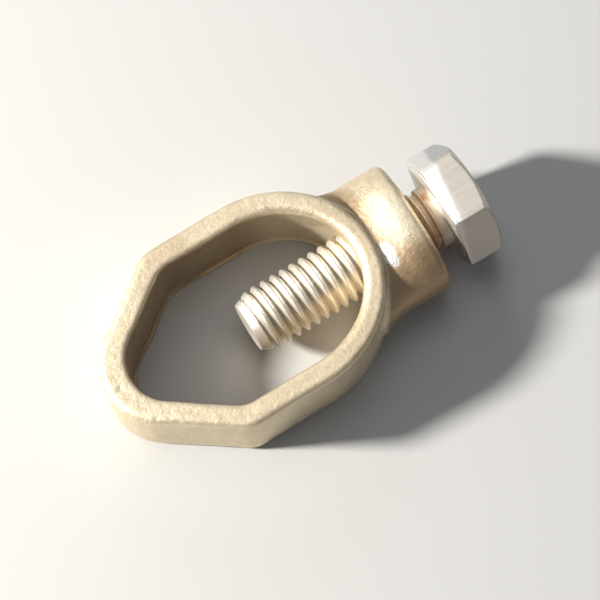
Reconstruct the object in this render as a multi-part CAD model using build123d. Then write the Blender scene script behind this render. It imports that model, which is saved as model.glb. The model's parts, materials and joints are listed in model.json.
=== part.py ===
# Earth rod clamp: a one-piece cast ring with a tapped boss, and a hexagon set screw.
# Frame: origin on the axis of the rounded V end of the ring, at half the ring's
# depth. +X runs along the set screw from the V end towards the hexagon head,
# +Z is the direction of the earth rod, +Y completes the right-handed frame.
# Millimetres.
import os
from math import tan, sin, cos, sqrt, radians, pi
from build123d import *

# ---- ring casting ----------------------------------------------------------
ring_depth = 13.0          # along the rod
out_half_w = 15.13         # outside half width, at the top face
out_round_c = 16.91        # centre of the outer round end
out_round_r = 16.21        # its reach along X
out_v_x = 4.19             # where the outer V begins
out_v_deg = 35.3           # half angle of the outer V
out_apex_r = 8.99           # outer radius of the V end
in_half_w = 11.65           # inside half width
in_round_c = 16.81         # centre of the inner round end
in_round_r = 13.17         # its reach along X
in_v_x = 5.23              # where the inner V begins
in_v_deg = 36.3            # half angle of the inner V
in_apex_r = 6.33           # inner radius of the V end, centred on the origin
lip_w = 0.45               # flash lip left round the bottom of the opening
lip_h = 0.9
rim_r = 0.55               # rounding of the cast rims
corner_r = 1.6             # rounding of the upright corners where the V begins

# ---- boss --------------------------------------------------------------------
boss_end = 40.20           # outer end face
boss_root = 29.5           # start of the boss, buried in the ring wall
boss_half_y = 10.40        # half width across the ring
boss_half_z = 7.2         # half height along the rod
boss_root_half_z = 5.0      # the boss top drops away towards the ring, below its rim
boss_off_y = -0.20          # the cast boss sits slightly to one side of the hole
screw_off_y = -0.57        # the tapped hole was drilled slightly off the casting's centre
boss_rim_r = 0.9
boss_blend_r = 0.5         # small blend where the flared boss meets the ring

# ---- set screw, 3/8 in, 16 threads to the inch ----------------------------------
major_r = 9.525 / 2
bore_clear = 0.06          # running clearance in the tapped hole
bore_r = major_r + bore_clear
tip_x = 11.87
under_head_x = 43.62       # 31.75 mm under the head
point_r = 3.55             # flat of the chamfered point
point_len = 1.75
neck_r = 4.70              # plain neck under the head
neck_len = 1.5
runout_r = 4.30            # groove where the thread runs out behind the neck
head_af = 15.875           # across flats
head_h = 5.93
head_turn_deg = 3.1        # how the head happens to be turned at rest
head_cham_deg = 30.0
washer_face_r = 7.4        # slight turned land under the head
washer_face_h = 0.12


def ring_outline(hw, xc, rx, xv, beta_deg, ra, z):
    """Closed outline of one side of the ring: rounded V, straight sides, round end."""
    b = radians(beta_deg)
    tb = tan(b)
    xa = xv - (hw - ra * sqrt(1 + tb * tb)) / tb        # centre of the V end's radius
    tx, ty = xa - ra * sin(b), ra * cos(b)              # tangent point on the flank
    p = lambda x, y: (x, y, z)
    s = sqrt(0.5)
    e1 = Line(p(tx, ty), p(xv, hw))
    e2 = Line(p(xv, hw), p(xc, hw))
    e3 = EllipticalCenterArc((xc, 0, z), rx, hw, start_angle=-90, arc_size=180)
    e4 = Line(p(xc, -hw), p(xv, -hw))
    e5 = Line(p(xv, -hw), p(tx, -ty))
    e6 = ThreePointArc(p(tx, -ty), p(xa - ra, 0), p(tx, ty))
    return Face(Wire([e1, e2, e3, e4, e5, e6])), xa


hz = ring_depth / 2
f_out, _ = ring_outline(out_half_w, out_round_c, out_round_r, out_v_x, out_v_deg, out_apex_r, -hz)
outer = extrude(f_out, amount=ring_depth, dir=(0, 0, 1))


def soften(solid, r_corner, xs):
    """Round the upright corners where the V meets the straight sides."""
    up = [e for e in solid.edges()
          if abs(e.bounding_box().max.Z - e.bounding_box().min.Z) > ring_depth * 0.9
          and abs(e.center().X - xs) < 0.6]
    return fillet(up, r_corner)


def round_rims(solid, z_list, r):
    for zz in z_list:
        es = [e for e in solid.edges() if abs(e.bounding_box().min.Z - zz) < 0.02
              and abs(e.bounding_box().max.Z - zz) < 0.02]
        solid = fillet(es, r)
    return solid


outer = soften(outer, corner_r, out_v_x)
outer = round_rims(outer, (hz, -hz), rim_r)

f_in, xa_in = ring_outline(in_half_w, in_round_c, in_round_r, in_v_x, in_v_deg, in_apex_r, -hz - 1)
f_in_main = Pos(0, 0, 1 + lip_h) * f_in
inner = extrude(f_in_main, amount=ring_depth + 2, dir=(0, 0, 1))
inner = soften(inner, corner_r, in_v_x)
f_lip, _ = ring_outline(in_half_w - lip_w, in_round_c, in_round_r - lip_w, in_v_x + 0.15, in_v_deg,
                        in_apex_r - lip_w, -hz - 1)
inner_lip = soften(extrude(f_lip, amount=ring_depth + 2, dir=(0, 0, 1)), corner_r, in_v_x + 0.15)
inner = inner + inner_lip
print("inner V end centre x = %.3f" % xa_in)


def boss_section(x, hy, hzz):
    pl = Plane(origin=(x, boss_off_y, 0), x_dir=(0, 1, 0), z_dir=(1, 0, 0))
    return pl * Ellipse(hy, hzz)


boss = loft([boss_section(x, hy, hzz).face() for x, hy, hzz in
             ((boss_root, boss_half_y + 3.4, boss_root_half_z), (33.4, boss_half_y + 0.9, 5.75),
              (36.4, boss_half_y, 6.6), (boss_end, boss_half_y, boss_half_z))])
end_edges = [e for e in boss.edges() if abs(e.center().X - boss_end) < 0.01]
boss = fillet(end_edges, boss_rim_r)

blank = outer + boss
# blend the boss into the outside of the ring
root = []
for e in blank.edges():
    bb = e.bounding_box()
    if bb.min.X > 24.0 and bb.max.X < 36.0 and e.geom_type not in (GeomType.LINE,) \
            and abs(bb.max.Z) < hz - 0.05 and abs(bb.min.Z) < hz - 0.05:
        root.append(e)
for r in (boss_blend_r, 0.35, 0.2):
    try:
        blank2 = fillet(root, r)
        print("boss blend radius", r, "edges", len(root))
        blank = blank2
        break
    except Exception as ex:
        print("blend", r, "refused")

body = blank - inner


def on_rim(e, z):
    bb = e.bounding_box()
    return abs(bb.min.Z - z) < 0.02 and abs(bb.max.Z - z) < 0.02


for z in (hz, -hz):
    rim = [e for e in body.edges() if on_rim(e, z)
           and abs(inner.distance_to(e.center())) < 0.05]
    print("inner rim edges", len(rim))
    for r in (rim_r, 0.45, 0.3):
        try:
            body = fillet(rim, r)
            print("rim radius", r)
            break
        except Exception as ex:
            print("rim", z, r, "refused")

bore = Plane(origin=(20, screw_off_y, 0), x_dir=(0, 1, 0), z_dir=(1, 0, 0)) * Cylinder(
    bore_r, 30, align=(Align.CENTER, Align.CENTER, Align.MIN))
body = body - bore
mouth = [e for e in body.edges() if abs(e.center().X - boss_end) < 0.05
         and e.geom_type == GeomType.CIRCLE and abs(e.radius - bore_r) < 0.05]
body = chamfer(mouth, 0.4) if mouth else body
body = body.solids().sort_by(SortBy.VOLUME)[-1]

# ---- set screw ---------------------------------------------------------------
prof = [(tip_x, 0), (tip_x, point_r), (tip_x + point_len, major_r),
        (under_head_x - neck_len - 0.95, major_r), (under_head_x - neck_len - 0.6, runout_r),
        (under_head_x - neck_len - 0.25, runout_r), (under_head_x - neck_len, neck_r),
        (under_head_x, neck_r), (under_head_x + 1.0, neck_r), (under_head_x + 1.0, 0)]
shank = revolve(Face(Wire(Polyline(*[(x, y, 0) for x, y in prof], close=True).edges())), Axis.X, 360)
head_pl = Plane(origin=(under_head_x + washer_face_h, 0, 0), x_dir=(0, 1, 0), z_dir=(1, 0, 0))
hexa = head_pl * Pos(0, 0, 0) * Rot(0, 0, head_turn_deg) * extrude(
    RegularPolygon(head_af / sqrt(3), 6), amount=head_h - washer_face_h)
land = Plane(origin=(under_head_x, 0, 0), x_dir=(0, 1, 0), z_dir=(1, 0, 0)) * Cylinder(
    washer_face_r, 1.0, align=(Align.CENTER, Align.CENTER, Align.MIN))
# turned chamfer on the outer face of the head, and a light one underneath
xo = under_head_x + head_h
rf = head_af / 2 * 0.97
ac = head_af / sqrt(3)
rise = (ac + 1 - rf) * tan(radians(head_cham_deg))
cone = revolve(Face(Wire(Polyline((under_head_x + washer_face_h - 0.01, 0, 0),
                                  (under_head_x + washer_face_h - 0.01, ac - 0.25, 0),
                                  (under_head_x + washer_face_h + 0.75, ac + 1.0, 0),
                                  (xo - rise, ac + 1.0, 0), (xo, rf, 0),
                                  (xo, 0, 0), close=True).edges())), Axis.X, 360)
head = (hexa & cone) + land
screw = Pos(0, screw_off_y, 0) * (shank + head).solids().sort_by(SortBy.VOLUME)[-1]

os.makedirs("parts", exist_ok=True)
export_step(body, "parts/clamp_body.step")
export_step(screw, "parts/clamp_screw.step")
for n, s in (("clamp_body", body), ("clamp_screw", screw)):
    bb = s.bounding_box()
    print(n, "valid", s.is_valid, "volume %.0f" % s.volume,
          "box (%.2f %.2f %.2f) (%.2f %.2f %.2f)" % (*bb.min, *bb.max))
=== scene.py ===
import bpy, json, math
import numpy as np
from mathutils import Matrix, Vector
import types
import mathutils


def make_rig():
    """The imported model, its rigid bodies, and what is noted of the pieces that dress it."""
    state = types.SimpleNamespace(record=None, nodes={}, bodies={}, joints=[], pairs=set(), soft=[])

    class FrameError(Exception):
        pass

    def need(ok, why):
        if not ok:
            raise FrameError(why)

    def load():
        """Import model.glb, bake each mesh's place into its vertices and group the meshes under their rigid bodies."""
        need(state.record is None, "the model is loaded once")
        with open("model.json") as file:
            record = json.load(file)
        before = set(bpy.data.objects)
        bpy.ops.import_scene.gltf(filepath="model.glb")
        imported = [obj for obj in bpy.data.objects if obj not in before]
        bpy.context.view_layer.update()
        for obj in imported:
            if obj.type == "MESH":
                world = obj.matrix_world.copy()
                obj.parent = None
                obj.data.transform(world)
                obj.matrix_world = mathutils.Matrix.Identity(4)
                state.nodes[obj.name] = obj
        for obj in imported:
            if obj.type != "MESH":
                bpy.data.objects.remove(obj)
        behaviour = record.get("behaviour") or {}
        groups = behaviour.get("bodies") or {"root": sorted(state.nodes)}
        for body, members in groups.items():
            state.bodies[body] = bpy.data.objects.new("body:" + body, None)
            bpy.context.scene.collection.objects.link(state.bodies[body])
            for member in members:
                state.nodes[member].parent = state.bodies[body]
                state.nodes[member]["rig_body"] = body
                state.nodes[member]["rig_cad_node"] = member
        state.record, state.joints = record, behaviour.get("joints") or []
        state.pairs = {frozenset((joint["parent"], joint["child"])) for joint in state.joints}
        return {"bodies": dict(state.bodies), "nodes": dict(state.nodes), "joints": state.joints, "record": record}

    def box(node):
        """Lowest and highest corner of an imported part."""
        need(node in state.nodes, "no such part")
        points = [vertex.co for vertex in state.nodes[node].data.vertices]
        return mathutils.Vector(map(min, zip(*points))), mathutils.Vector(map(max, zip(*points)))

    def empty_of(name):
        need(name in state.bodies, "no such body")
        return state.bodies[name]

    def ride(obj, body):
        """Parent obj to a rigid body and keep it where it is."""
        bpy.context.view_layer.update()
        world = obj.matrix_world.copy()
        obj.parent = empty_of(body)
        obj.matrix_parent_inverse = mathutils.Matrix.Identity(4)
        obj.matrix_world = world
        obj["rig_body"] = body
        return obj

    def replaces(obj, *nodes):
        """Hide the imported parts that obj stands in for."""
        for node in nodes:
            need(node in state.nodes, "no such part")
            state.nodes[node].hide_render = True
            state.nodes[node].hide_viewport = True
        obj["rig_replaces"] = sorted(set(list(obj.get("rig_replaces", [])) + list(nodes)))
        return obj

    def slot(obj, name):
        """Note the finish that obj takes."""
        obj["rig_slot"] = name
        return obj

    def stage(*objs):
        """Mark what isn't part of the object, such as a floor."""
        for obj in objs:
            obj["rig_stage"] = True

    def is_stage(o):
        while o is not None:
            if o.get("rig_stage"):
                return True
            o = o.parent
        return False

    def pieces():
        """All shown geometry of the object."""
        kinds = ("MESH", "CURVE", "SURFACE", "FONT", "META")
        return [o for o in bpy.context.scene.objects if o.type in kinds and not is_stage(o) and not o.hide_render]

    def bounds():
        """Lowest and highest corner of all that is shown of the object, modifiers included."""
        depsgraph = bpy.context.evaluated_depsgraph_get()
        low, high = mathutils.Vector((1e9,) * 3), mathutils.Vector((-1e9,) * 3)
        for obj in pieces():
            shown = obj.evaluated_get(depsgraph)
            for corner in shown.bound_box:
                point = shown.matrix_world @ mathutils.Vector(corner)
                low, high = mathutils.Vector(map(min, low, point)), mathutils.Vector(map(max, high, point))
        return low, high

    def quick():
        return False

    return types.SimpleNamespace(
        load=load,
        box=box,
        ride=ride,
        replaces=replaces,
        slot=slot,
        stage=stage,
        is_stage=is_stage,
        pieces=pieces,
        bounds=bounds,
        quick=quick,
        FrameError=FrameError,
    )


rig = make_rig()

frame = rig.load()
CAD_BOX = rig.bounds()
MM = 0.001

# ------------------------------------------------------------------ sizes, mm
HZ = 6.5
OUT = dict(hw=15.09, xc=16.91, rx=16.18, xv=4.19, beta=35.3, ra=8.97)
INN = dict(hw=11.65, xc=16.81, rx=13.17, xv=5.23, beta=36.3, ra=6.33)
DRAFT = 0.25                    # the outer wall narrows by this towards the bottom
BOSS_END = 40.16
BOSS_Y = -0.20
SY = -0.57                      # the screw axis: the hole was drilled a little off centre
BORE_R = 4.82
R_MAJ = 4.735
PITCH = 1.5875
DEPTH = 0.88
TIP = 11.91
NECK_X = 42.12
UNDER = 43.62
HEAD_H = 5.90
AF = 15.82


def value_noise(p, freq, seed):
    """Smooth seeded noise at points p (n,3), roughly -1..1."""
    rng = np.random.RandomState(seed)
    lat = rng.rand(32, 32, 32).astype(np.float32) * 2 - 1
    q = p * freq
    i = np.floor(q).astype(int)
    f = q - i
    f = f * f * (3 - 2 * f)
    out = 0
    for dx in (0, 1):
        for dy in (0, 1):
            for dz in (0, 1):
                w = (f[:, 0] if dx else 1 - f[:, 0]) * (f[:, 1] if dy else 1 - f[:, 1]) * (f[:, 2] if dz else 1 - f[:, 2])
                out = out + w * lat[(i[:, 0] + dx) % 32, (i[:, 1] + dy) % 32, (i[:, 2] + dz) % 32]
    return out


def outline(hw, xc, rx, xv, beta, ra, n=28):
    b = math.radians(beta)
    tb = math.tan(b)
    xa = xv - (hw - ra * math.sqrt(1 + tb * tb)) / tb
    up = []
    a1 = math.atan2(math.cos(b), -math.sin(b))
    for a in np.linspace(math.pi, a1, n):
        up.append((xa + ra * math.cos(a), ra * math.sin(a)))
    # the V corner, eased
    c = np.array([xv, hw])
    d1 = np.array([-math.cos(b), -math.sin(b)])
    d2 = np.array([1.0, 0.0])
    e = 1.5
    for t in np.linspace(0, 1, 9):
        p = (1 - t) ** 2 * (c + e * d1) + 2 * t * (1 - t) * c + t * t * (c + e * d2)
        up.append(tuple(p))
    for a in np.linspace(math.pi / 2, 0, 3 * n):
        up.append((xc + rx * math.cos(a), hw * math.sin(a)))
    up = np.array(up)
    lo = up[::-1].copy()
    lo[:, 1] *= -1
    return np.vstack([up, lo[1:-1]])


def sd_poly(P, V):
    """Signed distance from points P (n,2) to the closed polygon V, negative inside."""
    d = np.full(len(P), 1e9)
    inside = np.zeros(len(P), bool)
    m = len(V)
    for k in range(m):
        a, b = V[k], V[(k + 1) % m]
        e = b - a
        w = P - a
        t = np.clip((w @ e) / (e @ e), 0, 1)
        q = w - t[:, None] * e
        d = np.minimum(d, (q * q).sum(1))
        c1 = (a[1] <= P[:, 1]) & (b[1] > P[:, 1])
        c2 = (a[1] > P[:, 1]) & (b[1] <= P[:, 1])
        cr = e[0] * w[:, 1] - e[1] * w[:, 0]
        inside ^= (c1 & (cr > 0)) | (c2 & (cr < 0))
    return np.sqrt(d) * np.where(inside, -1, 1)


def rmax(a, b, r):
    return np.minimum(-r, np.maximum(a, b)) + np.hypot(np.maximum(a + r, 0), np.maximum(b + r, 0))


def rmin(a, b, r):
    return np.maximum(r, np.minimum(a, b)) - np.hypot(np.maximum(r - a, 0), np.maximum(r - b, 0))


def smooth(x, a, b):
    t = np.clip((x - a) / (b - a), 0, 1)
    return t * t * (3 - 2 * t)


def body_field(X, Y, Z, d_out, d_in):
    """Distance-like field of the casting, mm, negative in the metal."""
    p = np.stack([X, Y, Z], 1)
    und = value_noise(p, 0.22, 3) * 0.10 + value_noise(p, 0.55, 4) * 0.05 + value_noise(p, 1.3, 5) * 0.022
    out = d_out + DRAFT * np.clip((HZ - Z) / (2 * HZ), 0, 1) + 0.04 + und * 0.6
    capt = Z - HZ + 0.06 + value_noise(p, 0.18, 8) * 0.05
    capb = -Z - HZ + 0.02
    slab = np.maximum(capt, capb)
    o = rmax(out, slab, 0.78 + 0.42 * (1 - smooth(X, -6, 6)) * (Z > 0))
    # boss: oval, dropping away towards the ring
    t = np.clip((X - 29.5) / 10.7, 0, 1)
    bz = 4.95 + 2.38 * smooth(t, -0.15, 1.0) - 0.30 * smooth(t, 0.7, 1.0)
    by = 10.36 + 0 * X
    yy = Y - BOSS_Y
    n = 2.25
    ya, za = np.abs(yy) / by, np.abs(Z) / bz
    k = (ya ** n + za ** n + 1e-9) ** (1 / n)
    g = np.sqrt((ya ** (n - 1) / by) ** 2 + (za ** (n - 1) / bz) ** 2) * k ** (1 - n) + 1e-6
    bs = (k - 1) / g
    bs = np.where(bs > 4, 4 + (bs - 4) * 0.5, bs) + und * 0.7 + 0.03
    bs = rmax(bs, X - BOSS_END + 0.02 + und * 0.4, 1.15)
    bs = np.maximum(bs, 29.5 - X)
    # blend: wide at the sides, tight where the top lies near the ring's rim
    rb = 0.5 + 2.7 * (1 - smooth(np.abs(Z), 1.5, 5.2))
    o = rmin(o, bs, rb)
    o = np.where(X < 30.5, np.maximum(o, slab), o)
    # the opening, with the thin lip of flash round its bottom edge
    lipn = 0.42 + 0.25 * value_noise(p, 0.35, 9)
    lip = np.clip(lipn, 0.12, 0.6) * (1 - smooth(Z, -HZ + 0.75, -HZ + 1.15))
    hole = d_in + lip + und * 0.5
    r_in = 0.75 + 0.5 * smooth(X, 15, 26)
    f = rmax(o, -hole, 0.62)
    top = rmax(o, -hole, r_in)
    f = np.where(Z > 0, top, f)
    # ragged ring of metal pushed up round the mouth of the tapped hole, inside
    rr = np.hypot(Y - SY, Z)
    ang = np.arctan2(Z, Y - SY)
    bur = 0.30 + 0.10 * np.sin(3 * ang + 1) + 0.09 * np.sin(7 * ang) + 0.05 * np.sin(13 * ang + 2)
    tor = np.hypot(rr - 5.0, X - 29.93) - bur
    f = np.where((X > 25) & (X < 31), np.minimum(f, np.maximum(tor, 29.4 - X)), f)
    # nicks in the rim
    for c, r, dep in NICKS:
        s = np.sqrt((X - c[0]) ** 2 + (Y - c[1]) ** 2 + ((Z - c[2]) * 1.0) ** 2) - r
        f = rmax(f, -s, 0.16)
    # tapped hole
    bore = rr - BORE_R
    ch = rr - (BORE_R + 0.45 - (BOSS_END - X))
    f = np.where(X > 20, np.maximum(f, -np.minimum(bore, np.where(X > BOSS_END - 1.2, ch, 9))), f)
    return f


# two small nicks on the top rim, at the V end
NICKS = [((-6.18, -6.71, 6.84), 0.56, 0.3), ((-8.35, -0.23, 6.62), 0.42, 0.2),
         ((3.2, -14.4, 6.6), 0.40, 0.2), ((14.0, 13.6, 6.75), 0.38, 0.2)]


def surface_nets(F, org, h):
    """Quad mesh of the zero level of F on a regular grid."""
    s = F < 0
    nx, ny, nz = F.shape
    acc = np.zeros((nx - 1, ny - 1, nz - 1, 3))
    cnt = np.zeros((nx - 1, ny - 1, nz - 1))
    cells = (slice(0, nx - 1), slice(0, ny - 1), slice(0, nz - 1))

    def sub(A, d):
        return A[d[0]:d[0] + nx - 1, d[1]:d[1] + ny - 1, d[2]:d[2] + nz - 1]
    for ax in range(3):
        o1, o2 = [a for a in range(3) if a != ax]
        for u in (0, 1):
            for v in (0, 1):
                d0 = [0, 0, 0]
                d0[o1], d0[o2] = u, v
                d1 = list(d0)
                d1[ax] = 1
                a, b = sub(F, d0), sub(F, d1)
                cr = (a < 0) != (b < 0)
                t = np.where(cr, a / np.where(cr, a - b, 1), 0)
                pt = np.zeros(a.shape + (3,))
                pt[..., ax] = t
                pt[..., o1] = u
                pt[..., o2] = v
                acc += pt * cr[..., None]
                cnt += cr
    act = cnt > 0
    idx = -np.ones(act.shape, int)
    idx[act] = np.arange(act.sum())
    ijk = np.argwhere(act)
    V = org + h * (ijk + acc[act] / cnt[act][:, None])
    quads = []
    for ax in range(3):
        o1, o2 = (ax + 1) % 3, (ax + 2) % 3
        sl0 = [slice(1, -1)] * 3
        sl1 = [slice(1, -1)] * 3
        sl0[ax] = slice(0, -1)
        sl1[ax] = slice(1, None)
        A, B = s[tuple(sl0)], s[tuple(sl1)]
        for flip, cond in ((False, A & ~B), (True, ~A & B)):
            w = np.argwhere(cond)
            if not len(w):
                continue
            base = w + 1
            base[:, ax] -= 1
            c = []
            for (u, v) in ((-1, -1), (0, -1), (0, 0), (-1, 0)):
                q = base.copy()
                q[:, o1] += u
                q[:, o2] += v
                c.append(idx[q[:, 0], q[:, 1], q[:, 2]])
            c = np.stack(c, 1)
            if flip:
                c = c[:, ::-1]
            quads.append(c)
    return V, np.vstack(quads)


def add_mesh(name, V, Fc, sharp=None):
    me = bpy.data.meshes.new(name)
    me.from_pydata([tuple(v) for v in (np.asarray(V) * MM)], [], [tuple(int(i) for i in f) for f in Fc])
    me.validate()
    me.update()
    ob = bpy.data.objects.new(name, me)
    bpy.context.scene.collection.objects.link(ob)
    me.polygons.foreach_set("use_smooth", [True] * len(me.polygons))
    if sharp:
        me.set_sharp_from_angle(angle=math.radians(sharp))
    return ob


# ------------------------------------------------------------------ casting
H = 0.40 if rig.quick() else 0.30
lo = np.array([-11.6, -15.9, -7.9])
hi = np.array([41.1, 15.9, 7.9])
gx, gy, gz = [np.arange(lo[i], hi[i] + H, H) for i in range(3)]
GX, GY = np.meshgrid(gx, gy, indexing="ij")
P2 = np.stack([GX.ravel(), GY.ravel()], 1)
do = sd_poly(P2, outline(**OUT))
di = sd_poly(P2, outline(**INN))
F = np.empty((len(gx), len(gy), len(gz)))
for k, z in enumerate(gz):
    F[:, :, k] = body_field(P2[:, 0], P2[:, 1], np.full(len(P2), z), do, di).reshape(GX.shape)
V, Q = surface_nets(F, lo, H)
# pull the vertices onto the field, then even them out a little
poly_o, poly_i = outline(**OUT), outline(**INN)


def field_at(p):
    return body_field(p[:, 0], p[:, 1], p[:, 2], sd_poly(p[:, :2], poly_o), sd_poly(p[:, :2], poly_i))


def relax(V, Q, k):
    n = len(V)
    e = np.vstack([Q[:, [0, 1]], Q[:, [1, 2]], Q[:, [2, 3]], Q[:, [3, 0]]])
    e = np.vstack([e, e[:, ::-1]])
    s = np.stack([np.bincount(e[:, 0], V[e[:, 1], i], n) for i in range(3)], 1)
    c = np.bincount(e[:, 0], minlength=n)
    return V + k * (s / c[:, None] - V)


for it in range(1 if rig.quick() else 2):
    V = relax(V, Q, 0.5)
    f0 = field_at(V)
    eps = 0.03
    g = np.stack([(field_at(V + eps * np.eye(3)[i]) - f0) / eps for i in range(3)], 1)
    gn = (g * g).sum(1)
    st = np.clip(f0 / np.maximum(gn, 0.3), -0.12, 0.12)
    V = V - g * st[:, None]
body = add_mesh("cast_body", V, Q)
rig.replaces(body, "clamp_body")
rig.slot(body, "cast_bronze")

# ------------------------------------------------------------------ thread
def profile_table(depth):
    n = 400
    t = (np.arange(n) + 0.5) / n
    tri = np.abs(2 * t - 1)                    # 1 at the crest, 0 at the root
    h = np.clip((tri - 0.08) / (0.78 - 0.08), 0, 1)
    k = np.exp(-0.5 * (np.arange(-40, 41) / 13.0) ** 2)
    k /= k.sum()
    h = np.convolve(np.concatenate([h[-40:], h, h[:40]]), k, "valid")
    return t, (1 - h) * depth


T_T, T_D = profile_table(DEPTH)
X_CREST = 15.31            # a crest passes the top of the screw here


def thread_drop(x, th):
    """How far the thread's surface lies below the major radius. Right hand."""
    ph = ((x - X_CREST) / PITCH - th / (2 * math.pi)) % 1.0
    return np.interp(ph, T_T, T_D, period=1.0)


def lathe(name, xs, rfun, nth, closed_ends=True, inner=None, sharp=None):
    th = np.arange(nth) * 2 * math.pi / nth
    XX, TH = np.meshgrid(xs, th, indexing="ij")
    R = rfun(XX, TH)
    V = np.stack([XX, R * np.cos(TH), R * np.sin(TH)], 2).reshape(-1, 3)
    m = len(xs)
    i, j = np.meshgrid(np.arange(m - 1), np.arange(nth), indexing="ij")
    a = i * nth + j
    b = i * nth + (j + 1) % nth
    Q = np.stack([a, a + nth, b + nth, b], 2).reshape(-1, 4)
    return V, Q[:, ::-1]


NTH = 96 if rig.quick() else 132
dx = 0.11 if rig.quick() else 0.082
xs = np.arange(TIP, NECK_X + 0.0, dx)
xs = np.unique(np.concatenate([xs, [NECK_X, NECK_X + 0.08, NECK_X + 0.25]]))


def shank_r(x, th):
    drop = thread_drop(x, th)
    # the thread fades out into the groove behind the neck
    fade = smooth(x, 41.0, 41.55)
    r = R_MAJ - drop * (1 - fade) - 0.62 * fade
    # chamfered point
    env = 3.72 + np.maximum(x - TIP - 0.1, 0) * 0.46
    r = np.minimum(r, env) + 0.0
    r = np.where(x < TIP + 0.12, r - 0.12 * (1 - (x - TIP) / 0.12) ** 2, r)
    neck = smooth(x, NECK_X - 0.32, NECK_X + 0.02)
    return r * (1 - neck) + 4.67 * neck


Vs, Qs = lathe("s", xs, shank_r, NTH)
verts = [Vs]
faces = [Qs]
nv = len(Vs)
# rounded tip disc, slightly dished and rough
first = np.arange(NTH)
rings = []
for rr_, dx_ in ((0.97, -0.005), (0.80, 0.0), (0.55, 0.015), (0.28, 0.03)):
    th = np.arange(NTH) * 2 * math.pi / NTH
    r0 = np.hypot(Vs[:NTH, 1], Vs[:NTH, 2])
    ring = np.stack([np.full(NTH, TIP + dx_), r0 * rr_ * np.cos(th), r0 * rr_ * np.sin(th)], 1)
    rings.append(ring)
prev = first
for ring in rings:
    cur = nv + np.arange(NTH)
    verts.append(ring)
    faces.append(np.stack([prev, np.roll(prev, -1), np.roll(cur, -1), cur], 1))
    nv += NTH
    prev = cur
verts.append(np.array([[TIP + 0.035, 0, 0]]))
cen = nv
nv += 1
tri_tip = [(int(prev[(i + 1) % NTH]), int(cen), int(prev[i])) for i in range(NTH)]

# ------------------------------------------------------------------ hexagon head, joined to the neck
def hex_section(n_flat=10, n_arc=4, rc=0.30, turn=math.radians(3.1)):
    """Rounded hexagon, unit: mm. Returns angle-ordered points."""
    pts = []
    rin = AF / 2
    for k in range(6):
        a = turn + k * math.pi / 3                     # a corner here
        cx = (rin - rc) / math.cos(math.pi / 6)
        c = np.array([cx * math.cos(a), cx * math.sin(a)])
        for t in np.linspace(-math.pi / 6, math.pi / 6, n_arc + 1):
            pts.append(c + rc * np.array([math.cos(a + t), math.sin(a + t)]))
        # flat to the next corner
        c2 = np.array([cx * math.cos(a + math.pi / 3), cx * math.sin(a + math.pi / 3)])
        nrm = np.array([math.cos(a + math.pi / 6), math.sin(a + math.pi / 6)])
        p0, p1 = c + rc * nrm, c2 + rc * nrm
        for s in np.linspace(0, 1, n_flat + 2)[1:-1]:
            pts.append(p0 + (p1 - p0) * s)
    return np.array(pts)


HX = hex_section()
NH = len(HX)
HR = np.hypot(HX[:, 0], HX[:, 1])
HA = np.arctan2(HX[:, 1], HX[:, 0])
XO = UNDER + HEAD_H
RF = AF / 2 * 0.965
c30 = math.tan(math.radians(30))


def ring_at(x, r):
    r = np.broadcast_to(r, (NH,))
    x = np.broadcast_to(x, (NH,))
    return np.stack([x, r * np.cos(HA), r * np.sin(HA)], 1)


rows = [ring_at(NECK_X + 0.3, 4.67), ring_at(NECK_X + 0.9, 4.67), ring_at(UNDER - 0.22, 4.67),
        ring_at(UNDER - 0.06, 4.76), ring_at(UNDER + 0.0, 4.98), ring_at(UNDER, 5.8), ring_at(UNDER, 7.25),
        ring_at(UNDER + 0.03, 7.34), ring_at(UNDER + 0.12, 7.40)]
# underside corners: light forging round
sc = np.clip(HR - 8.55, 0, 9)
low = UNDER + 0.12 + sc * 0.06
ROLL = 0.08                                      # the trimming die rolls the flats over next to the underside
rows.append(ring_at(UNDER + 0.12, np.maximum(HR - ROLL - 0.22, 7.42)))
rows.append(ring_at(low, HR - ROLL - 0.09))
rows.append(ring_at(low + 0.05, HR - ROLL - 0.02))
rows.append(ring_at(low + 0.14, HR - ROLL + 0.03))
for t in (0.35, 0.7, 0.93, 1.0):
    rows.append(ring_at(np.maximum(UNDER + 0.15 + 2.0 * t, low + 0.2), HR - ROLL * (1 - t) ** 1.15))
cham = XO - np.clip(HR - RF, 0, 9) * c30           # where the chamfer cone meets the side
for t in (0.12, 0.36, 0.6, 0.8, 0.94):
    xx = (UNDER + 2.15) * (1 - t) + (cham - 0.16) * t
    swell = -0.05 * np.clip(t, 0, 1)               # facets draw in a hair towards the outer end
    rows.append(ring_at(xx, HR + swell))
rows.append(ring_at(cham - 0.13, HR - 0.05))
rows.append(ring_at(cham - 0.035, HR - 0.085))
rows.append(ring_at(cham + 0.03, HR - 0.16))
for t in (0.35, 0.7, 0.97):
    r = (HR - 0.16) * (1 - t) + RF * t
    rows.append(ring_at(XO - np.clip(r - RF, 0, 9) * c30, np.maximum(r, RF)))
rows.append(ring_at(XO - 0.012, RF - 0.06))
for rr_ in (RF - 0.22, 6.2, 4.4, 2.4, 0.9):
    rows.append(ring_at(XO - 0.0, rr_))
HV = np.vstack(rows)
HQ = []
for i in range(len(rows) - 1):
    for j in range(NH):
        a, b = i * NH + j, i * NH + (j + 1) % NH
        HQ.append((b, b + NH, a + NH, a))
cidx = len(HV)
HV = np.vstack([HV, [[XO, 0, 0]]])
last = (len(rows) - 1) * NH
HT = [(last + j, last + (j + 1) % NH, cidx) for j in range(NH)]
HT = [t[::-1] for t in HT]

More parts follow.
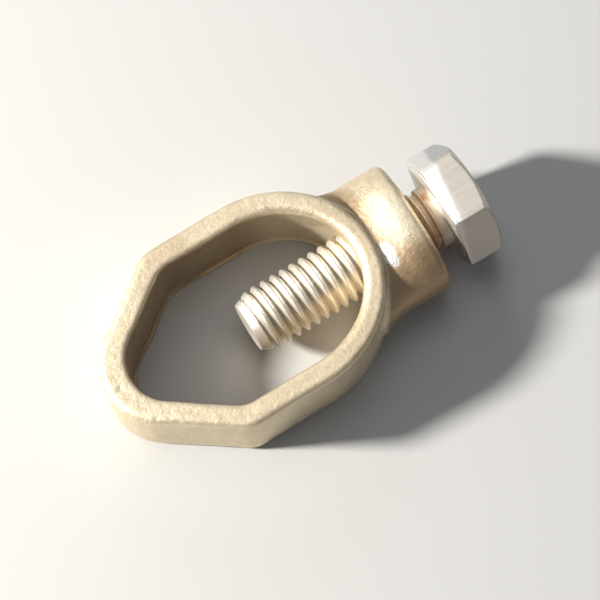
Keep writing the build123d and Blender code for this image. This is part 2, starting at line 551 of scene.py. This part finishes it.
# close the shank's end inside the neck and the head's start inside the shank
endc = np.array([[xs[-1], 0, 0]])
Vall = np.vstack(verts + [endc])
e_i = len(Vall) - 1
e0 = (len(xs) - 1) * NTH
tri_end = [(e0 + j, e0 + (j + 1) % NTH, e_i) for j in range(NTH)]
F1 = [tuple(q) for q in np.vstack(faces)] + tri_tip + tri_end
off = len(Vall)
st0 = np.array([[NECK_X + 0.1, 0, 0]])
Vh = np.vstack([HV, st0])
F2 = [tuple(i + off for i in q) for q in HQ] + [tuple(i + off for i in t) for t in HT]
# inner cap of the head lathe sits inside the shank's end
F2 += [(off + (j + 1) % NH, off + j, off + len(HV)) for j in range(NH)]
Vscrew = np.vstack([Vall, Vh]) + np.array([0, SY, 0])
screw = add_mesh("set_screw", Vscrew, F1 + F2)
import bmesh
bm = bmesh.new()
bm.from_mesh(screw.data)
bmesh.ops.recalc_face_normals(bm, faces=bm.faces)
bm.to_mesh(screw.data)
bm.free()
screw.data.set_sharp_from_angle(angle=math.radians(38))
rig.replaces(screw, "clamp_screw")
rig.slot(screw, "plated_steel")

# the thread cut in the boss: a liner whose inside is the helix, just clear of the screw
X0, X1 = 30.05, 39.85


def liner(name):
    xs_ = np.arange(X0, X1 + 0.01, 0.11 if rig.quick() else 0.09)
    Vi, Qi = lathe("i", xs_, lambda x, th: np.minimum(R_MAJ + 0.055 - thread_drop(x, th), 4.79)
                   + 0.45 * smooth(x, X1 - 0.5, X1) * (x > 0) * 0.0
                   + np.clip(x - 37.0, 0, 1) * 0.95 + np.clip(X0 + 0.5 - x, 0, 1) * 0.9, NTH)
    r = np.hypot(Vi[:, 1], Vi[:, 2])
    lim = np.minimum(r, 5.02)
    Vi[:, 1] *= lim / r
    Vi[:, 2] *= lim / r
    Vo, Qo = lathe("o", np.array([X0, X1]), lambda x, th: 5.08 + 0 * x, NTH)
    o = len(Vi)
    F_ = [tuple(q[::-1]) for q in Qi] + [tuple(i + o for i in q) for q in Qo]
    n1 = (len(xs_) - 1) * NTH
    for j in range(NTH):
        k = (j + 1) % NTH
        F_.append((j, k, o + k, o + j))
        F_.append((n1 + k, n1 + j, o + NTH + j, o + NTH + k))
    ob = add_mesh(name, np.vstack([Vi, Vo]) + np.array([0, SY, 0]), F_)
    b = bmesh.new()
    b.from_mesh(ob.data)
    bmesh.ops.recalc_face_normals(b, faces=b.faces)
    b.to_mesh(ob.data)
    b.free()
    ob.data.set_sharp_from_angle(angle=math.radians(40))
    return ob


tapped = liner("tapped_thread")
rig.slot(tapped, "cast_bronze")


# ------------------------------------------------------------------ materials
def new_mat(name):
    m = bpy.data.materials.new(name)
    m.use_nodes = True
    nt = m.node_tree
    nt.nodes.clear()
    out = nt.nodes.new("ShaderNodeOutputMaterial")
    bs = nt.nodes.new("ShaderNodeBsdfPrincipled")
    nt.links.new(bs.outputs[0], out.inputs[0])
    return m, nt, bs


def N(nt, kind, **kw):
    n = nt.nodes.new(kind)
    for k, v in kw.items():
        setattr(n, k, v)
    return n


def noise(nt, coord, scale, detail=3, rough=0.55, distort=0.0):
    n = N(nt, "ShaderNodeTexNoise")
    n.inputs["Scale"].default_value = scale
    n.inputs["Detail"].default_value = detail
    n.inputs["Roughness"].default_value = rough
    n.inputs["Distortion"].default_value = distort
    nt.links.new(coord, n.inputs["Vector"])
    return n.outputs[0]


def ramp(nt, fac, stops, interp="LINEAR"):
    r = N(nt, "ShaderNodeValToRGB")
    r.color_ramp.interpolation = interp
    el = r.color_ramp.elements
    while len(el) < len(stops):
        el.new(0.5)
    for e, (p, c) in zip(el, stops):
        e.position = p
        e.color = (c, c, c, 1) if not hasattr(c, "__len__") else (*c, 1)
    nt.links.new(fac, r.inputs[0])
    return r.outputs[0]


def mixc(nt, fac, a, b, blend="MIX"):
    m = N(nt, "ShaderNodeMix", data_type="RGBA", blend_type=blend)
    for sock, v in ((m.inputs[0], fac), (m.inputs[6], a), (m.inputs[7], b)):
        if isinstance(v, (int, float)):
            sock.default_value = v
        elif isinstance(v, tuple):
            sock.default_value = (*v, 1)
        else:
            nt.links.new(v, sock)
    return m.outputs[2]


def math_(nt, op, a, b=0.0, clamp=False):
    m = N(nt, "ShaderNodeMath", operation=op, use_clamp=clamp)
    for i, v in enumerate((a, b)):
        if isinstance(v, (int, float)):
            m.inputs[i].default_value = v
        else:
            nt.links.new(v, m.inputs[i])
    return m.outputs[0]


def bump(nt, h, dist, strength, normal=None):
    b = N(nt, "ShaderNodeBump")
    b.inputs["Strength"].default_value = strength
    b.inputs["Distance"].default_value = dist
    nt.links.new(h, b.inputs["Height"])
    if normal is not None:
        nt.links.new(normal, b.inputs["Normal"])
    return b.outputs[0]


def bronze():
    m, nt, bs = new_mat("cast_bronze")
    tc = N(nt, "ShaderNodeTexCoord").outputs["Object"]
    geo = N(nt, "ShaderNodeNewGeometry")
    big = noise(nt, tc, 140, 4, 0.6)
    mid = noise(nt, tc, 900, 4, 0.65)
    fine = noise(nt, tc, 3200, 3, 0.6)
    col = mixc(nt, ramp(nt, big, [(0.30, 0.0), (0.72, 1.0)]), (0.64, 0.53, 0.355), (0.75, 0.645, 0.465))
    col = mixc(nt, ramp(nt, mid, [(0.35, 0.0), (0.70, 0.55)]), col, (0.82, 0.735, 0.57))
    # darker, browner speckle and blotches
    col = mixc(nt, ramp(nt, fine, [(0.56, 0.0), (0.72, 0.45)]), col, (0.235, 0.165, 0.085))
    warm = noise(nt, tc, 60, 2, 0.5)
    col = mixc(nt, ramp(nt, warm, [(0.50, 0.0), (0.70, 0.35)]), col, (0.47, 0.34, 0.205))
    pt = geo.outputs["Pointiness"]
    # painted shade: hollows and creases, where the pointiness is low, are darkened to brown
    col = mixc(nt, ramp(nt, pt, [(0.40, 0.75), (0.485, 0.0)]), col, (0.30, 0.215, 0.12))
    wear = ramp(nt, pt, [(0.515, 0.0), (0.58, 0.75)])
    col = mixc(nt, math_(nt, "MULTIPLY", wear, ramp(nt, mid, [(0.30, 0.25), (0.6, 0.8)])), col, (0.80, 0.715, 0.55))
    # painted shadow on the boss: shade on its lower side, with some real brown scale there, and the ring rim's cast
    # shadow in the hollow at its root
    sep = N(nt, "ShaderNodeSeparateXYZ")
    nt.links.new(tc, sep.inputs[0])
    wob = math_(nt, "MULTIPLY", math_(nt, "SUBTRACT", big, 0.5), 0.004)
    mo = N(nt, "ShaderNodeMapping")
    mo.inputs["Location"].default_value = (-0.01691, 0, 0)
    mo.inputs["Scale"].default_value = (1, 1, 0)
    nt.links.new(tc, mo.inputs[0])
    lo = N(nt, "ShaderNodeVectorMath", operation="LENGTH")
    nt.links.new(mo.outputs[0], lo.inputs[0])
    rr = math_(nt, "MULTIPLY", lo.outputs["Value"], 20.0)
    east = ramp(nt, math_(nt, "MULTIPLY", sep.outputs[0], 20.0), [(0.50, 0.0), (0.54, 1.0)])
    onb = math_(nt, "MULTIPLY", east, ramp(nt, rr, [(0.323, 0.0), (0.331, 1.0)]))
    # the painted shadow's edge on the boss drifts outwards towards the end
    shade_edge_y = math_(nt, "ADD", math_(nt, "ADD", sep.outputs[1], wob),
               math_(nt, "MULTIPLY", math_(nt, "SUBTRACT", sep.outputs[0], 0.0336), 0.28))
    boss_side_shade = ramp(nt, math_(nt, "ADD", math_(nt, "MULTIPLY", shade_edge_y, -50.0), 0.5), [(0.62, 0.04), (0.72, 0.92), (0.85, 1.0)])
    root = ramp(nt, math_(nt, "ADD", rr, math_(nt, "MULTIPLY", wob, 8.0)), [(0.345, 1.0), (0.392, 0.0)])
    boss_shade_and_scale = math_(nt, "MULTIPLY", onb, math_(nt, "MAXIMUM", boss_side_shade, math_(nt, "MULTIPLY", root, 0.95)))
    # painted shade and cast shadow mixed onto the boss, with some real brown scale
    col = mixc(nt, math_(nt, "MULTIPLY", boss_shade_and_scale, 0.85), col, (0.36, 0.235, 0.13))
    # painted shade on the wall of the opening, dark brown away from the round end where the light reaches it
    tcn = N(nt, "ShaderNodeTexCoord").outputs["Normal"]
    mi = N(nt, "ShaderNodeMapping")
    mi.inputs["Location"].default_value = (-0.008, 0, 0)
    nt.links.new(tc, mi.inputs[0])
    dp = N(nt, "ShaderNodeVectorMath", operation="DOT_PRODUCT")
    nt.links.new(mi.outputs[0], dp.inputs[0])
    nt.links.new(tcn, dp.inputs[1])
    inner_wall_shade = ramp(nt, math_(nt, "MULTIPLY", dp.outputs["Value"], -50.0), [(0.20, 0.0), (0.42, 1.0)])
    inner_wall_shade = math_(nt, "MULTIPLY", inner_wall_shade, ramp(nt, math_(nt, "MULTIPLY", sep.outputs[0], 20.0), [(0.34, 1.0), (0.45, 0.0)]))
    inner_wall_shade = math_(nt, "MULTIPLY", inner_wall_shade, ramp(nt, mid, [(0.3, 0.62), (0.7, 0.78)]))
    col = mixc(nt, inner_wall_shade, col, (0.235, 0.155, 0.085))
    # painted highlight on the crown of the boss
    mc = N(nt, "ShaderNodeMapping")
    mc.inputs["Location"].default_value = (-0.0371 * 260, -0.0012 * 190, 0)
    mc.inputs["Scale"].default_value = (260, 190, 0)
    nt.links.new(tc, mc.inputs[0])
    lc = N(nt, "ShaderNodeVectorMath", operation="LENGTH")
    nt.links.new(mc.outputs[0], lc.inputs[0])
    top = ramp(nt, math_(nt, "MULTIPLY", sep.outputs[2], 100.0), [(0.35, 0.0), (0.55, 1.0)])
    crown_highlight = math_(nt, "MULTIPLY", top, ramp(nt, lc.outputs["Value"], [(0.35, 0.45), (1.0, 0.0)]))
    col = mixc(nt, crown_highlight, col, (0.90, 0.83, 0.67))
    # a small silvery spot at the root of the boss: bare metal brightened with a painted reflection
    mp = N(nt, "ShaderNodeMapping")
    mp.inputs["Location"].default_value = (-0.0338, 0.0036, -0.0056)
    nt.links.new(tc, mp.inputs[0])
    mp2 = N(nt, "ShaderNodeMapping")
    mp2.inputs["Scale"].default_value = (900, 420, 500)
    nt.links.new(mp.outputs[0], mp2.inputs[0])
    ln = N(nt, "ShaderNodeVectorMath", operation="LENGTH")
    nt.links.new(mp2.outputs[0], ln.inputs[0])
    root_reflection = ramp(nt, math_(nt, "ADD", ln.outputs["Value"], math_(nt, "MULTIPLY", math_(nt, "SUBTRACT", mid, 0.5), 0.9)),
                [(0.70, 0.8), (1.1, 0.0)])
    col = mixc(nt, root_reflection, col, (0.70, 0.70, 0.71))
    nt.links.new(col, bs.inputs["Base Color"])
    bs.inputs["Metallic"].default_value = 0.72
    rough = ramp(nt, mid, [(0.25, 0.40), (0.75, 0.56)])
    rough = math_(nt, "SUBTRACT", rough, math_(nt, "MULTIPLY", wear, 0.10))
    nt.links.new(rough, bs.inputs["Roughness"])
    n1 = bump(nt, noise(nt, tc, 480, 3, 0.55), 0.00016, 0.45)
    n2 = bump(nt, noise(nt, tc, 1500, 4, 0.65), 0.00010, 0.8, n1)
    n3 = bump(nt, noise(nt, tc, 3600, 3, 0.6), 0.00006, 0.7, n2)
    nt.links.new(n3, bs.inputs["Normal"])
    return m


def steel():
    m, nt, bs = new_mat("plated_steel")
    tc = N(nt, "ShaderNodeTexCoord").outputs["Object"]
    geo = N(nt, "ShaderNodeNewGeometry")
    sep = N(nt, "ShaderNodeSeparateXYZ")
    nt.links.new(tc, sep.inputs[0])
    mp = N(nt, "ShaderNodeMapping")
    mp.inputs["Scale"].default_value = (0.06, 1.0, 1.0)
    nt.links.new(tc, mp.inputs[0])
    streak = noise(nt, mp.outputs[0], 2600, 3, 0.6)      # runs along the screw, from the trimming of the flats
    blot = noise(nt, tc, 260, 4, 0.6)
    fine = noise(nt, tc, 3000, 3, 0.6)
    # 0 on the shank, 1 on the head
    hd = ramp(nt, math_(nt, "MULTIPLY", sep.outputs[0], 20.0), [(0.870, 0.0), (0.876, 1.0)])
    base = mixc(nt, ramp(nt, blot, [(0.3, 0.0), (0.7, 1.0)]), (0.76, 0.70, 0.60), (0.86, 0.81, 0.71))
    headc = mixc(nt, ramp(nt, streak, [(0.3, 0.0), (0.7, 1.0)]), (0.66, 0.605, 0.53), (0.75, 0.695, 0.615))
    col = mixc(nt, hd, base, headc)
    pt = geo.outputs["Pointiness"]
    # painted shade: thread grooves and creases, where the pointiness is low, are darkened
    col = mixc(nt, ramp(nt, pt, [(0.40, 0.85), (0.492, 0.0)]), col, (0.22, 0.17, 0.115))
    wear = ramp(nt, pt, [(0.52, 0.0), (0.60, 0.8)])
    col = mixc(nt, wear, col, (0.90, 0.88, 0.83))
    # painted highlight: a bright strip on the flats next to the underside, only on the flats facing the light
    xw = math_(nt, "ADD", sep.outputs[0], math_(nt, "MULTIPLY", math_(nt, "SUBTRACT", blot, 0.5), 0.0010))
    xw = math_(nt, "SUBTRACT", xw, math_(nt, "MULTIPLY", sep.outputs[1], 0.14))
    torn = ramp(nt, math_(nt, "MULTIPLY", xw, 20.0), [(0.906, 0.0), (0.916, 1.0)])
    flat_highlight_strip = math_(nt, "MULTIPLY", hd, math_(nt, "SUBTRACT", 1.0, torn))
    lit = ramp(nt, math_(nt, "ADD", math_(nt, "MULTIPLY", sep.outputs[1], 50.0), 0.5), [(0.16, 0.0), (0.26, 1.0)])
    flat_highlight_strip = math_(nt, "MULTIPLY", flat_highlight_strip, lit)
    col = mixc(nt, flat_highlight_strip, col, (0.92, 0.91, 0.885))
    # painted shade: one flat of the head is painted cooler and darker than the next
    cool_flat_shade = ramp(nt, math_(nt, "ADD", math_(nt, "MULTIPLY", sep.outputs[1], 50.0), 0.5), [(0.70, 0.0), (0.715, 1.0)])
    cool_flat_shade = math_(nt, "MULTIPLY", cool_flat_shade, math_(nt, "MULTIPLY", hd, math_(nt, "ADD", math_(nt, "MULTIPLY", torn, 0.5), 0.35)))
    col = mixc(nt, cool_flat_shade, col, (0.43, 0.455, 0.47))
    # painted shade: the flat facing away from the key light is darkened
    dark_flat_shade = ramp(nt, math_(nt, "ADD", math_(nt, "MULTIPLY", sep.outputs[1], 50.0), 0.5), [(0.215, 1.0), (0.228, 0.0)])
    col = mixc(nt, math_(nt, "MULTIPLY", math_(nt, "MULTIPLY", dark_flat_shade, hd), 0.7), col, (0.36, 0.32, 0.30))
    # rust and grease where the shank leaves the boss
    un = ramp(nt, math_(nt, "MULTIPLY", sep.outputs[0], 20.0), [(0.790, 0.0), (0.806, 1.0), (0.858, 0.85), (0.8715, 0.0)])
    stain = math_(nt, "MULTIPLY", un, ramp(nt, blot, [(0.30, 0.55), (0.62, 1.0)]))
    col = mixc(nt, math_(nt, "MULTIPLY", stain, 0.85), col, (0.56, 0.385, 0.225))
    col = mixc(nt, math_(nt, "MULTIPLY", un, ramp(nt, noise(nt, tc, 420, 3, 0.6), [(0.56, 0.0), (0.66, 0.8)])), col,
               (0.50, 0.24, 0.08))
    nt.links.new(col, bs.inputs["Base Color"])
    bs.inputs["Metallic"].default_value = 0.88
    # the trimmed flats are burnished next to the underside and torn, duller, further out
    rgh = ramp(nt, fine, [(0.3, 0.30), (0.7, 0.40)])
    rgh = math_(nt, "ADD", rgh, math_(nt, "MULTIPLY", math_(nt, "MULTIPLY", torn, hd), 0.12))
    rgh = math_(nt, "ADD", rgh, math_(nt, "MULTIPLY", math_(nt, "SUBTRACT", 1.0, hd), 0.16))
    rgh = math_(nt, "ADD", rgh, math_(nt, "MULTIPLY", un, 0.12))
    nt.links.new(rgh, bs.inputs["Roughness"])
    hstreak = math_(nt, "MULTIPLY", streak, math_(nt, "MULTIPLY", torn, 1.0))
    n1 = bump(nt, hstreak, 0.00005, 0.5)
    n2 = bump(nt, noise(nt, tc, 1500, 3, 0.6), 0.00004, 0.5, n1)
    nt.links.new(n2, bs.inputs["Normal"])
    return m


def floor_mat():
    m, nt, bs = new_mat("pale_floor")
    bs.inputs["Base Color"].default_value = (0.50, 0.50, 0.495, 1)
    bs.inputs["Roughness"].default_value = 0.9
    return m


M_BR, M_ST = bronze(), steel()
body.data.materials.append(M_BR)
tapped.data.materials.append(M_BR)
screw.data.materials.append(M_ST)
for n, mt in (("clamp_body", M_BR), ("clamp_screw", M_ST)):
    o = frame["nodes"][n]
    o.data.materials.clear()
    o.data.materials.append(mt)

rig.ride(body, "clamp_body")
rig.ride(tapped, "clamp_body")
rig.ride(screw, "clamp_screw")

# ------------------------------------------------------------------ floor, light, camera
x_v, z_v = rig.box("clamp_body")[0].x + 0.0006, -0.0065
x_h, z_h = 0.0440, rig.box("clamp_screw")[0].z
slope = math.atan2(z_v - z_h, x_h - x_v)
bpy.ops.mesh.primitive_plane_add(size=6.0, location=(x_v, 0, z_v - 0.00004), rotation=(0, slope, 0))
floor = bpy.context.object
floor.name = "floor"
floor.data.materials.append(floor_mat())
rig.stage(floor)

world = bpy.data.worlds.new("studio")
bpy.context.scene.world = world
world.use_nodes = True
bg = world.node_tree.nodes["Background"]
bg.inputs[0].default_value = (0.93, 0.95, 1.0, 1)
bg.inputs[1].default_value = 0.20

TARGET = Vector((0.016, 0, 0))


def area(name, direction, dist, size, power, col=(1, 1, 1)):
    ld = bpy.data.lights.new(name, "AREA")
    ld.shape = "DISK"
    ld.size = size
    ld.energy = power
    ld.color = col
    lo_ = bpy.data.objects.new(name, ld)
    d = Vector(direction).normalized()
    lo_.location = TARGET + d * dist
    lo_.rotation_euler = (-d).to_track_quat("-Z", "Y").to_euler()
    bpy.context.scene.collection.objects.link(lo_)
    return lo_


area("key", (-0.78, 0.40, 0.55), 0.60, 0.08, 9.3, (1.0, 0.965, 0.90))
area("top", (0.1, 0.25, 1.0), 0.70, 0.45, 0.7, (0.97, 0.98, 1.0))
area("back", (0.35, 0.9, 0.55), 0.60, 0.25, 0.4, (0.95, 0.98, 1.0))

cam_d = bpy.data.cameras.new("camera")
cam = bpy.data.objects.new("camera", cam_d)
bpy.context.scene.collection.objects.link(cam)
right = Vector((0.851734, -0.521071, -0.055082))
up = Vector((0.514125, 0.810806, 0.279767))
back = Vector((-0.101117, -0.266606, 0.958486))
Mx = Matrix(((right.x, up.x, back.x, -0.0302503), (right.y, up.y, back.y, -0.1342559),
             (right.z, up.z, back.z, 0.4791368), (0, 0, 0, 1)))
cam.matrix_world = Mx
cam_d.sensor_width = 36
cam_d.lens = 210.788
cam_d.clip_start = 0.01
cam_d.clip_end = 20
bpy.context.scene.camera = cam
bpy.context.scene.view_settings.view_transform = "Standard"


def plain(b):
    return [[float(c) for c in v] for v in b]


try:
    json.dump({"cad": plain(CAD_BOX), "visual": plain(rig.bounds())}, open("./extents.json", "w"))
except OSError:
    pass
